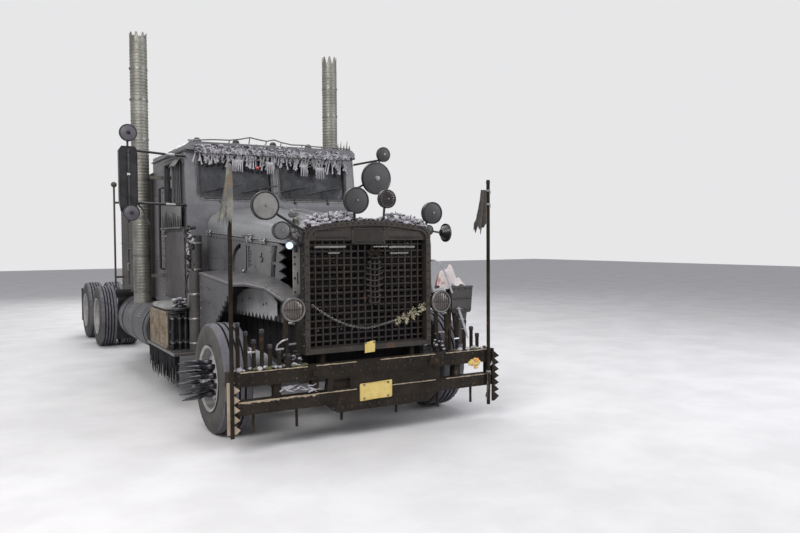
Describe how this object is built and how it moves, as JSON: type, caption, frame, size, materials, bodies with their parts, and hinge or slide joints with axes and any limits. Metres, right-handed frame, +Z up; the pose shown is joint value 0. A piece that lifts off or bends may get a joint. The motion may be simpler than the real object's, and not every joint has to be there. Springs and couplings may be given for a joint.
{
  "type": "semi truck tractor unit",
  "caption": "Long-nosed three-axle road tractor with sleeper, tall exhaust stacks, mesh grille, rail bumper and spiked wheel covers.",
  "frame": {"origin": "middle of the bounding box on the ground", "axes": "the truck faces -Y, +X is its left side, +Z is up"},
  "size_m": [3.44, 9.5, 4.24],
  "materials": {
    "frame_steel": "satin, dusty",
    "engine_iron": "rough",
    "radiator_metal": "dull",
    "tyre_rubber": "dusty",
    "wheel_steel": "weathered",
    "grille_paint": "rusty satin",
    "mesh_steel": "rusty",
    "hood_paint": "satin, worn",
    "fender_paint": "satin, worn",
    "rusty_steel": "rusty",
    "lamp_metal": "satin",
    "mirror_metal": "satin",
    "cab_paint": "satin, worn",
    "floor_steel": "matt",
    "window_glass": "smoked",
    "sleeper_paint": "dusty satin",
    "seat_fabric": "woven",
    "dash_plastic": "matt",
    "tank_metal": "satin, worn",
    "box_steel": "satin, worn",
    "stack_steel": "weathered",
    "plate_steel": "greasy",
    "flap_rubber": "dusty"
  },
  "bodies": {
    "chassis": {"air_tanks": "frame_steel", "bumper": "rusty_steel", "cab_back": "cab_paint", "cab_floor": "floor_steel", "cab_front": "cab_paint", "cab_roof": "cab_paint", "cab_sides": "cab_paint", "dashboard": "dash_plastic", "drive_axles": "frame_steel", "driveline": "frame_steel", "engine": "engine_iron", "exhaust_stacks": "stack_steel", "fenders": "fender_paint", "fifth_wheel_base": "frame_steel", "frame": "frame_steel", "front_axle": "frame_steel", "fuel_tanks": "tank_metal", "grille_mesh": "mesh_steel", "grille_shell": "grille_paint", "headlamps": "lamp_metal", "hood_sides": "hood_paint", "hood_spine": "hood_paint", "mirror_left": "mirror_metal", "mirror_right": "mirror_metal", "mud_flaps": "flap_rubber", "radiator": "radiator_metal", "seats": "seat_fabric", "side_boxes": "box_steel", "side_mirror_left": "mirror_metal", "sleeper": "sleeper_paint", "spot_lamps": "lamp_metal", "tandem_springs": "frame_steel", "windshield": "window_glass"},
    "steer_left": {"knuckle_left": "frame_steel"},
    "steer_right": {"knuckle_right": "frame_steel"},
    "front_wheel_left": {"front_wheel_left": "wheel_steel", "front_tyre_left": "tyre_rubber"},
    "front_wheel_right": {"front_wheel_right": "wheel_steel", "front_tyre_right": "tyre_rubber"},
    "drive_wheel_front_left": {"drive_wheel_front_left": "wheel_steel", "drive_tyres_front_left": "tyre_rubber"},
    "drive_wheel_front_right": {"drive_wheel_front_right": "wheel_steel", "drive_tyres_front_right": "tyre_rubber"},
    "drive_wheel_back_left": {"drive_wheel_back_left": "wheel_steel", "drive_tyres_back_left": "tyre_rubber"},
    "drive_wheel_back_right": {"drive_wheel_back_right": "wheel_steel", "drive_tyres_back_right": "tyre_rubber"},
    "door_left": {"door_left": "cab_paint", "door_glass_left": "window_glass"},
    "door_right": {"door_right": "cab_paint", "door_glass_right": "window_glass"},
    "hood_left": {"hood_left": "hood_paint"},
    "hood_right": {"hood_right": "hood_paint"},
    "fifth_wheel": {"fifth_wheel_plate": "plate_steel"}
  },
  "joints": [
    {"name": "steer_left_kingpin", "type": "hinge", "parent": "chassis", "child": "steer_left", "pos_m": [0.915, -3.85, 0.5], "axis": [0, 0, 1], "range_deg": [-30, 30]},
    {"name": "front_wheel_left_roll", "type": "hinge", "parent": "steer_left", "child": "front_wheel_left", "pos_m": [1.11, -3.85, 0.5], "axis": [1, 0, 0], "continuous": true},
    {"name": "drive_wheel_front_left_roll", "type": "hinge", "parent": "chassis", "child": "drive_wheel_front_left", "pos_m": [0.94, 2.78, 0.5], "axis": [1, 0, 0], "continuous": true},
    {"name": "drive_wheel_back_left_roll", "type": "hinge", "parent": "chassis", "child": "drive_wheel_back_left", "pos_m": [0.94, 4.1, 0.5], "axis": [1, 0, 0], "continuous": true},
    {"name": "door_left_hinge", "type": "hinge", "parent": "chassis", "child": "door_left", "pos_m": [1.036, -2.25, 1.9], "axis": [0, 0, -1], "range_deg": [0, 65]},
    {"name": "hood_left_hinge", "type": "hinge", "parent": "chassis", "child": "hood_left", "pos_m": [0.033, -4.49, 1.895], "axis": [0, -0.9934, -0.1148], "range_deg": [0, 65]},
    {"name": "steer_right_kingpin", "type": "hinge", "parent": "chassis", "child": "steer_right", "pos_m": [-0.915, -3.85, 0.5], "axis": [0, 0, 1], "range_deg": [-30, 30]},
    {"name": "front_wheel_right_roll", "type": "hinge", "parent": "steer_right", "child": "front_wheel_right", "pos_m": [-1.11, -3.85, 0.5], "axis": [1, 0, 0], "continuous": true},
    {"name": "drive_wheel_front_right_roll", "type": "hinge", "parent": "chassis", "child": "drive_wheel_front_right", "pos_m": [-0.94, 2.78, 0.5], "axis": [1, 0, 0], "continuous": true},
    {"name": "drive_wheel_back_right_roll", "type": "hinge", "parent": "chassis", "child": "drive_wheel_back_right", "pos_m": [-0.94, 4.1, 0.5], "axis": [1, 0, 0], "continuous": true},
    {"name": "door_right_hinge", "type": "hinge", "parent": "chassis", "child": "door_right", "pos_m": [-1.036, -2.25, 1.9], "axis": [0, 0, 1], "range_deg": [0, 65]},
    {"name": "hood_right_hinge", "type": "hinge", "parent": "chassis", "child": "hood_right", "pos_m": [-0.033, -4.49, 1.895], "axis": [0, 0.9934, 0.1148], "range_deg": [0, 65]},
    {"name": "fifth_wheel_rock", "type": "hinge", "parent": "chassis", "child": "fifth_wheel", "pos_m": [0, 3.44, 1.11], "axis": [1, 0, 0], "range_deg": [-12, 12]}
  ],
  "couplings": [
    {"joint": "steer_right_kingpin", "follows": "steer_left_kingpin", "ratio": 1}
  ]
}
